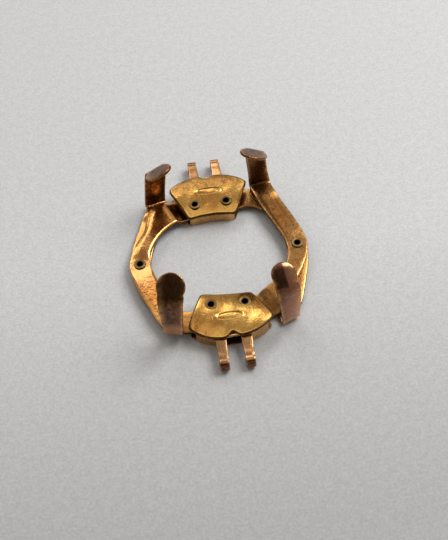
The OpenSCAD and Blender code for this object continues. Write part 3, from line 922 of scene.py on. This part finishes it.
@dataclass
class Cover(BoxPiece):
    """Arched cover with a bare stamped panel."""

    kind = "cover"
    form = "shell"
    finish = COVER_GOLD
    crease = 40.0

    outline: BoxOutline
    half: Half
    links: Linkage
    patina: float
    sheet_t: float = 0.35
    edge_r: float = 0.22
    panel_y: float = 12.3
    panel_l: float = 2.0
    panel_h: float = 0.62
    panel_power: float = 2.4
    aged_from: float = 11.5
    pivot_bore_r: float = 0.74
    # Share of the panel's size, lift, wear and patina, from its middle outwards.
    stamping: tuple[Row, ...] = (
        (0.12, 0.01, 0.2, 0.1), (0.45, 0.01, 0.1, 0.15), (0.78, 0.0, 0.0, 0.3), (0.88, -0.035, 0.0, 0.6),
        (0.93, -0.045, 0.0, 0.7), (0.98, 0.01, 0.4, 0.2), (1.03, 0.035, 0.8, 0.0), (1.09, 0.035, 0.8, 0.0),
        (1.17, 0.005, 0.3, 0.2), (1.26, -0.005, 0.0, 0.25))

    def panel(self, angle: float) -> float:
        """Returns the distance from the panel's middle to its rim in a direction."""
        x = abs(cos(angle) / self.panel_l)
        y = abs(sin(angle) / self.panel_h)
        return (x ** self.panel_power + y ** self.panel_power) ** (-1 / self.panel_power)

    def surface(self, x: float, y: float) -> float:
        """Returns the height of the hand-worked top at a place."""
        seed = 1.0 if self.half is Half.FRONT else 4.2
        fall = 0.045 * (abs(x) / 6.6) ** 3
        return self.outline.top(x, y) + 0.035 * ripple(x, y, seed) - fall - 0.02

    def draw(self, mesh: SheetMesh) -> None:
        """Adds rings from the panel's middle out to the rim and back underneath."""
        rim = self.outline.whole(0.0, 2, True)
        angles = [atan2(y - self.panel_y, x) for x, y in rim]
        reach = [hypot(x, y - self.panel_y) for x, y in rim]
        inner = [self.panel(a) for a in angles]

        def ring(radii: Sequence[float], lift: float, wear: float, patina: float) -> list[int]:
            """Adds a ring at those distances from the panel's middle, raised over the arch."""
            places = [(r * cos(a), self.panel_y + r * sin(a)) for a, r in zip(angles, radii)]
            points = [Vector((x, y, self.surface(x, y) + lift)) for x, y in places]
            aged_and_shaded = [max(patina, self.patina * ease((y - self.aged_from) / 2)) for _, y in places]
            return mesh.ring(points, wear, aged_and_shaded)

        rows = [ring([r * share for r in inner], *look) for share, *look in self.stamping]
        for i in range(1, 17):
            t = i / 16
            radii = [mix(r * self.stamping[-1][0], full - 0.5, t) for r, full in zip(inner, reach)]
            rows.append(ring(radii, 0.0, 0.0, mix(0.3, 0.12, ease(t * 3))))
        # The rolled rim: a pale ring of edge wear together with a painted highlight, then a dark band
        # painted as the shade where the rim rolls down to the tray.
        for inset, drop, wear in ((0.48, 0.0, 0.1), (0.40, 0.0, 0.4), (0.30, 0.004, 0.8),
                                  (self.edge_r, 0.012, 0.0), (0.07, 0.065, 0.0), (0.02, 0.13, 0.0),
                                  (0.0, self.edge_r, 0.0)):
            rows.append(ring([r - inset for r in reach], -drop, wear, 0.0 if wear else 1.0))
        # Underside, painted dark as the shade under the cover.
        rows.append(ring(reach, -self.sheet_t + 0.04, 0.2, 0.8))
        rows.append(ring([r - 0.04 for r in reach], -self.sheet_t, 0.0, 0.9))
        for share in (0.85, 0.6, 0.3, 0.08):
            rows.append(ring([r * share for r in reach], -self.sheet_t, 0.0, 0.9))
        mesh.skin(rows)


@dataclass
class Tray(BoxPiece):
    """Shallow tray under a cover: floor, inner wall and two lobed outer walls."""

    kind = "tray"
    form = "shell"
    finish = TRAY_GOLD

    outline: BoxOutline
    half: Half
    links: Linkage
    lip: float = 0.22
    wall_t: float = 0.35
    wall_foot: float = 0.14
    cover_gap: float = 0.28
    floor_t: float = 0.35
    floor_y: float = 11.6
    open_y0: float = 8.17
    open_y1: float = 13.1
    wing_y: float = 13.9
    hook_gap_x: float = 1.15
    bridge_h: float = 0.34
    pivot_bore_r: float = 0.74
    bore_depth: float = 1.6

    def floor(self, mesh: SheetMesh) -> None:
        """Adds the floor, with a rounded lower edge."""
        edge = self.outline.whole(self.lip, 1, False)

        def ring(inset: float, share: float, z: float, wear: float, patina: float) -> list[int]:
            """Adds a ring of the floor at a height."""
            points = []
            for x, y in edge:
                d = Vector((x, y - self.floor_y))
                d = d * share - d.normalized() * inset
                points.append(Vector((d.x, self.floor_y + d.y, z)))
            return mesh.ring(points, wear, patina)

        t = self.floor_t
        # The floor's top, inside the box, is painted dark as the shade in the box; each row gives inset,
        # share, height, wear and patina.
        mesh.skin([ring(*row) for row in (
            (0, 0.08, 0, 0.1, 0.2), (0, 0.5, 0, 0.2, 0.2), (0.4, 1, 0, 0.3, 0.1), (0.13, 1, 0, 0.6, 0.2),
            (0.06, 1, 0.02, 0.6, 0.3), (0.025, 1, 0.06, 0.4, 0.4), (0.01, 1, 0.12, 0.2, 0.5),
            (0.01, 1, t, 0, 0.7), (0.3, 1, t, 0, 0.9), (0, 0.5, t, 0, 0.9), (0, 0.08, t, 0, 0.9))])

    def wall(self, mesh: SheetMesh, points: Sequence[Point], depth: float = 0.0) -> None:
        """Adds a wall along a line of points.

        Args:
            mesh: The mesh that takes it.
            points: The wall's line, seen from above.
            depth: How far it hangs from the cover, or 0 where it stands on the floor.
        """
        stations = []
        for x, y in points:
            high = self.outline.top(x, y) - self.cover_gap
            low = high - depth if depth else self.wall_foot
            half = (high - low) / 2
            stations.append(Station(Vector((x, y, low + half)), Vector((0, 0, 1)), half, half, self.wall_t,
                                    ((-0.5, 0.03), (0.3, 0.04)), 0.2, 0.2))
        Strip(stations, 0.08).mesh(mesh)

    def draw(self, mesh: SheetMesh) -> None:
        """Adds the floor, the walls and the narrow bridge behind the hooks."""
        self.floor(mesh)
        line = self.outline.half(self.lip + self.wall_t / 2, False)
        inner = [p for p in line[:24] if p[1] < self.open_y0 or p[0] < 3.0]
        self.wall(mesh, [(-x, y) for x, y in reversed(inner[1:])] + inner)
        outer = [p for p in line[20:] if p[1] > self.wing_y and p[0] > self.hook_gap_x]
        for side in (1, -1):
            self.wall(mesh, [(side * x, y) for x, y in outer])
        bridge = [p for p in line[20:] if p[1] > self.open_y1 and p[0] < self.hook_gap_x + 0.25]
        self.wall(mesh, bridge + [(-x, y) for x, y in reversed(bridge[:-1])], self.bridge_h)


@dataclass
class Hook(BoxPiece):
    """Strip that leaves a box under its cover and curls round a bracelet bar."""

    form = "strip"
    slot = "rose_gold"
    finish = COPPER_GOLD

    half: Half
    side: int
    patina: float
    x: float = 1.95
    root_half_w: float = 0.84
    curl_half_w: float = 0.72
    sheet_t: float = 0.42
    bore_r: float = 0.58
    axis_y: float = 19.35
    axis_z: float = 1.1
    wrap: float = 235.0
    leg_y: float = 15.05
    bend_r: float = 0.25
    rise: float = 0.15
    dip: float = 0.22
    taper_from: float = 16.0
    taper_over: float = 2.4

    @property
    def kind(self) -> str:
        """Its name in its box."""
        return "right_hook" if (self.side > 0) == (self.half is Half.REAR) else "left_hook"

    def draw(self, mesh: SheetMesh) -> None:
        """Adds the strip, from its foot in the box to the end of the curl."""
        r = self.bore_r + self.sheet_t / 2
        top = self.axis_z + r
        root = top + self.rise
        bend = (self.leg_y + self.bend_r, root - self.bend_r)
        line = [(self.leg_y, 0.4), (self.leg_y, 0.9)] + arc(bend, self.bend_r, pi, pi / 2, 4)
        for i in range(1, 16):
            t = i / 16
            z = mix(root, top, ease((t - 0.75) / 0.25)) - self.dip * sin(pi * t / 1.1)
            line.append((mix(bend[0], self.axis_y, t), z))
        turns = 30
        line += arc((self.axis_y, self.axis_z), r, pi / 2, pi / 2 - radians(self.wrap), turns)
        stations = []
        for i, (y, z) in enumerate(line):
            past = i + turns - len(line)
            taper = 1.0 if past > 0 else ease((y - self.taper_from) / self.taper_over)
            half = mix(self.root_half_w, self.curl_half_w, taper)
            # Painted shade on the curl as it turns down under the strip, lighter again towards its end.
            dark = mix(self.patina, 0.9, ease((past - 2) / 4)) - 0.6 * ease((past - 12) / 6)
            t = self.sheet_t * (1 if i < len(line) - 1 else 0.7)
            stations.append(Station(Vector((self.side * self.x, y, z)), Vector((1, 0, 0)), half, half, t,
                                    ((-0.5, 0.02), (0.5, 0.02)), dark))
        Strip(stations, 0.1).mesh(mesh)


@dataclass
class Rivet(Piece):
    """Hollow rivet with a rolled rim at each end."""

    form = "rivet"
    slot = "tarnished_gold"
    finish = RIVET_BRONZE
    crease = 60.0

    node: str
    body: str
    x: float
    y: float
    low: float
    high: float
    hole_r: float = 0.48
    barrel_r: float = 0.71
    rim_r: float = 0.94
    rim_h: float = 0.2
    mouth: float = 0.1

    def profile(self) -> list[Row]:
        """Lays out the section: radius, height, wear with painted highlight and tarnish with painted shade,
        from the top of the hole round.
        """
        r = self.rim_h / 2
        m = self.mouth
        out = []
        for z, s in ((self.high, -1), (self.low, 1)):
            # Painted shade down the hole and under each rolled rim; the pale top of the rim is wear together
            # with a painted highlight.
            bead: list[Row] = [(self.hole_r, z + s * 0.6, 0.0, 1.0)]
            for a in (0, 30, 60, 90):
                c = radians(a)
                bead.append((self.hole_r + m - m * cos(c), z + s * (m - m * sin(c)), 0.2 if a else 0.0,
                             0.75 - 0.3 * a / 90))
            bead.append((self.rim_r - r - 0.06, z + s * 0.02, 0.55, 0.1))
            for a in (90, 60, 30, 0, -30, -60, -90):
                c = radians(a)
                bead.append((self.rim_r - r + r * cos(c), z + s * (r - r * sin(c)), 0.6 if a > 20 else 0.0,
                             mix(1.0, 0.25, clamp((a + 20) / 110))))
            bead.append((self.barrel_r, z + s * self.rim_h, 0.0, 1.0))
            out += bead if s < 0 else list(reversed(bead))
        return out

    def draw(self, mesh: SheetMesh) -> None:
        """Adds the section turned round the axis, with slightly uneven rims."""
        rows = []
        turns = 56
        angles = [2 * pi * i / turns for i in range(turns)]
        for r, z, wear, patina in self.profile():
            uneven = 0.02 if r > self.barrel_r else 0.0
            radii = [r * (1 + uneven * (sin(2 * a + self.x) + 0.6 * sin(5 * a + self.y))) for a in angles]
            ring = [Vector((self.x + b * cos(a), self.y + b * sin(a), z)) for a, b in zip(angles, radii)]
            rows.append(mesh.ring(ring, wear, patina))
        mesh.skin(rows, looped=True)


@dataclass
class HairSpring(BoxPiece):
    """Hairpin spring between the heels of a box's two levers, which closes as they open."""

    kind = "spring"
    form = "strip"
    slot = "spring_steel"
    finish = SPRING_STEEL

    half: Half
    post_y: float = 13.7
    eye_r: float = 0.55
    eye_past: float = 12.0
    leg_x: float = 0.75
    leg_l: float = 3.0
    straight: float = 0.6
    low: float = 0.55
    strip_h: float = 0.9
    strip_t: float = 0.22
    closed: float = 0.48

    def line(self) -> list[Point]:
        """Returns the strip's line seen from above, from the end of one leg round to the other."""
        past = radians(self.eye_past)
        tip = self.post_y - self.leg_l
        legs = [(self.leg_x, tip), (self.leg_x, tip + self.straight)]
        eye = arc((0.0, self.post_y), self.eye_r, -past, pi + past, 32)
        return legs + eye + [(-x, y) for x, y in reversed(legs)]

    def draw(self, mesh: SheetMesh) -> None:
        """Adds the strip on its edge."""
        half_h = self.strip_h / 2
        Strip([Station(Vector((x, y, self.low + half_h)), Vector((0, 0, 1)), half_h, half_h, self.strip_t)
               for x, y in self.line()], 0.05).mesh(mesh)

    def build(self) -> bpy.types.Object:
        """Makes the spring, seats it on its box and gives it a mesh of its own.

        Returns:
            The spring.
        """
        piece = super().build()
        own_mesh(piece)
        return piece


@dataclass
class WatchClamp:
    """The whole clamp."""

    links: Linkage = field(default_factory=Linkage)
    outlines: dict[Half, BoxOutline] = field(default_factory=lambda: {
        Half.REAR: BoxOutline(), Half.FRONT: BoxOutline(twist=-0.03)})

    def levers(self) -> list[Lever]:
        """Lists the four levers, each bent as the real one is."""
        k = self.links
        rear_arm = (((-0.7, 0.13), (0.35, 0.15)), ((-0.55, 0.16), (0.3, 0.2)))
        front_arm = (((-0.8, 0.08), (0.9, 0.12)), ((-0.7, 0.2), (0.45, 0.32)))
        rear_tongue = (((-0.74, 0.2), (0.0, 0.24)), ((-0.85, 0.06), (0.97, 0.36)))
        return [
            Lever("right_upper_lever", "right_upper", Level.UPPER, False,
                  ClawShape((8.75, 13.5), -6, 9, 5.5, -0.42, 1.78, 1.62, 1.58, 2.24, 0.79, 0.84, 0.5,
                            widen_from=0.7, stem_h=7.15, slope=30),
                  k, 3.6, 0.55, rear_arm, SOFT, 0.74, hump=0.2),
            Lever("left_upper_lever", "left_upper", Level.UPPER, True,
                  ClawShape((8.75, 13.5), 12, 11, 1, 0.0, 1.46, 1.56, 1.95, 2.14, 0.2, 0.9, 0.9,
                            painted_reflection_slant=0.2, dark_from=0.2),
                  k, 3.6, 0.55, front_arm, rear_tongue, 0.06, blush=0.35),
            Lever("right_lower_lever", "right_lower", Level.LOWER, False,
                  ClawShape((9.2, 13.2), 22, 8, 4, -0.15, 1.5, 1.62, 1.88, 1.92, 0.12, 0.5, 1.0,
                            painted_reflection_slant=-0.4, dark_from=0.6, ridge=-0.3),
                  k, 6.2, -3.3, SOFT, SOFT, 0.64, belly=0.75, shelf=0.9),
            Lever("left_lower_lever", "left_lower", Level.LOWER, True,
                  ClawShape((9.0, 13.2), 18, 8, 6, -0.6, 1.8, 1.76, 1.66, 2.26, 0.8, 0.8, 0.5, flat=1.45,
                            widen_from=0.7, stem_h=7.4, slope=30),
                  k, 6.2, -3.3, SOFT, SOFT, 0.35, hump=0.2, belly=0.75, shelf=0.9),
        ]

    def rivets(self) -> list[Rivet]:
        """Lists the six hollow rivets."""
        k = self.links
        out = [Rivet("right_side_eyelet", "right_upper", k.side_pivot_x, 0, 0.31, 2.27),
               Rivet("left_side_eyelet", "left_upper", -k.side_pivot_x, 0, 0.31, 2.27)]
        for half in Half:
            s = 1 if half is Half.REAR else -1
            for word, x in (("left", -k.box_pivot_x), ("right", k.box_pivot_x)):
                high = self.outlines[half].top(s * x, k.box_pivot_y) + 0.12
                out.append(Rivet(f"{half.word}_{word}_eyelet", half.word + "_box", x, s * k.box_pivot_y,
                                 0.02, high))
        return out

    def parts(self) -> list[Piece]:
        """Lists every piece, in the order in which they are made."""
        out: list[Piece] = []
        for half in Half:
            rear = half is Half.REAR
            outline = self.outlines[half]
            out += [Cover(outline, half, self.links, 0.7 if rear else 0.05), Tray(outline, half, self.links),
                    Hook(half, 1, 0.15 if rear else 0.5), Hook(half, -1, 0.5 if rear else 0.15),
                    HairSpring(half)]
        return out + self.levers() + self.rivets()

    def build(self) -> None:
        """Makes every piece in order and reports each one."""
        for part in self.parts():
            piece = part.build()
            log.info("%s: %d faces", piece.name, len(piece.data.polygons))


@dataclass
class Stage:
    """Pale floor, soft lamp, room and camera."""

    floor_colour: Colour = (0.645, 0.67, 0.695)
    # Painted shade on the floor: darker towards the front, by a ramp along Y.
    floor_painted_falloff: tuple[Point, Point] = ((-0.045, 0.72), (0.002, 1.02))
    azimuth: float = -5.31
    elevation: float = 55.0
    roll: float = -3.57
    distance: float = 143.46
    target: Point = (0.47, -1.84)
    lens: float = 72.32
    lamp_azimuth: float = 66.0
    lamp_elevation: float = 52.0
    lamp_distance: float = 0.50
    lamp_size: float = 0.30
    lamp_power: float = 1.7
    lamp_colour: Colour = (1.0, 0.98, 0.95)
    dark_side: Colour = (-0.05, -0.57, 0.82)
    room_front: Colour = (0.03, 0.027, 0.025)
    room_back: Colour = (0.36, 0.32, 0.29)
    room_ceiling: Colour = (0.75, 0.70, 0.64)
    room_window: Colour = (2.5, 2.4, 2.25)
    # Each edge of the window: direction, and how much light shows on both sides of the edge.
    window_edges: tuple[tuple[str, tuple[Point, Point]], ...] = (
        ("Y", ((-0.15, 0.0), (0.25, 1.0))), ("X", ((0.10, 1.0), (0.145, 0.08))),
        ("X", ((-0.62, 0.1), (-0.42, 1.0))), ("Z", ((0.50, 0.0), (0.58, 1.0))),
        ("Z", ((0.77, 1.0), (0.83, 0.0))))

    def floor(self) -> None:
        """Lays the floor that the clamp rests on."""
        shape = bmesh.new()
        bmesh.ops.create_grid(shape, x_segments=8, y_segments=8, size=1.2)
        mesh = bpy.data.meshes.new("floor")
        shape.to_mesh(mesh)
        shape.free()
        floor = add_object("floor", mesh)
        m, net = new_material("floor_card")
        net.shader("Roughness", 0.9)
        place = net.place()
        weave = net.mixed(net.noise(place, 2600, 3.0), net.noise(place, 900, 2.0), 0.3)
        shade = net.plus(net.times(net.ramp(weave, ((0.36, 0.0), (0.64, 1.0))), 0.18), 0.91)
        # Painted shade: the floor darkens towards the front.
        shade = net.times(shade, net.ramp(net.axis(place, "Y"), self.floor_painted_falloff))
        net.shader("Base Color", net.shaded(self.floor_colour, shade))
        net.bump(weave, 0.3, 0.0001)
        mesh.materials.append(m)

    def lamp(self) -> None:
        """Adds a soft box that faces the clamp."""
        data = bpy.data.lights.new("key", "AREA")
        data.shape = "RECTANGLE"
        data.size = self.lamp_size
        data.size_y = self.lamp_size
        data.energy = self.lamp_power
        data.color = self.lamp_colour
        lamp = add_object("key", data)
        a = radians(self.lamp_azimuth)
        e = radians(self.lamp_elevation)
        where = Vector((sin(a) * cos(e), cos(a) * cos(e), sin(e)))
        lamp.location = where * self.lamp_distance
        lamp.rotation_euler = where.to_track_quat("Z", "Y").to_euler()

    def world(self) -> None:
        """Makes a room with one soft window at the back, darker behind the camera."""
        world = bpy.data.worlds.new("room")
        world.use_nodes = True
        bpy.context.scene.world = world
        net = Net(world.node_tree)
        place = net.add("TexCoord", {}, "Generated")
        window: float | Socket = 1.0
        for axis, stops in self.window_edges:
            window = net.times(window, net.ramp(net.axis(place, axis), stops))
        facing = net.add("VectorMath", {0: place, 1: self.dark_side}, "Value", operation="DOT_PRODUCT")
        room = net.colours(net.ramp(facing, ((0.97, 0.0), (0.86, 1.0))), self.room_front, self.room_back)
        above = net.ramp(net.axis(place, "Z"), ((0.955, 0.0), (0.99, 1.0)))
        room = net.colours(above, room, self.room_ceiling)
        net.put(net.colours(window, room, self.room_window), net.tree.nodes["Background"].inputs["Color"])

    def camera(self) -> None:
        """Sets the camera at the photograph's angle."""
        a = radians(self.azimuth)
        e = radians(self.elevation)
        roll = radians(self.roll)
        back = Vector((sin(a) * cos(e), -cos(a) * cos(e), sin(e)))
        right = Vector((cos(a), sin(a), 0))
        up = back.cross(right)
        data = bpy.data.cameras.new("camera")
        data.sensor_width = 36
        data.sensor_fit = "HORIZONTAL"
        data.lens = self.lens
        data.clip_start = 0.005
        camera = add_object("camera", data)
        turn = Matrix((cos(roll) * right + sin(roll) * up, cos(roll) * up - sin(roll) * right, back))
        spot = (Vector((*self.target, 0)) + back * self.distance) * MM
        camera.matrix_world = Matrix.Translation(spot) @ turn.transposed().to_4x4()
        bpy.context.scene.camera = camera

    def build(self) -> None:
        """Sets the whole stage."""
        bpy.context.scene.view_settings.view_transform = "Standard"
        self.floor()
        self.world()
        self.lamp()
        self.camera()


def main() -> None:
    """Builds the stage and the clamp."""
    logging.basicConfig(level=logging.INFO, format="%(message)s")
    Stage().build()
    WatchClamp().build()


if __name__ == "__main__":
    main()
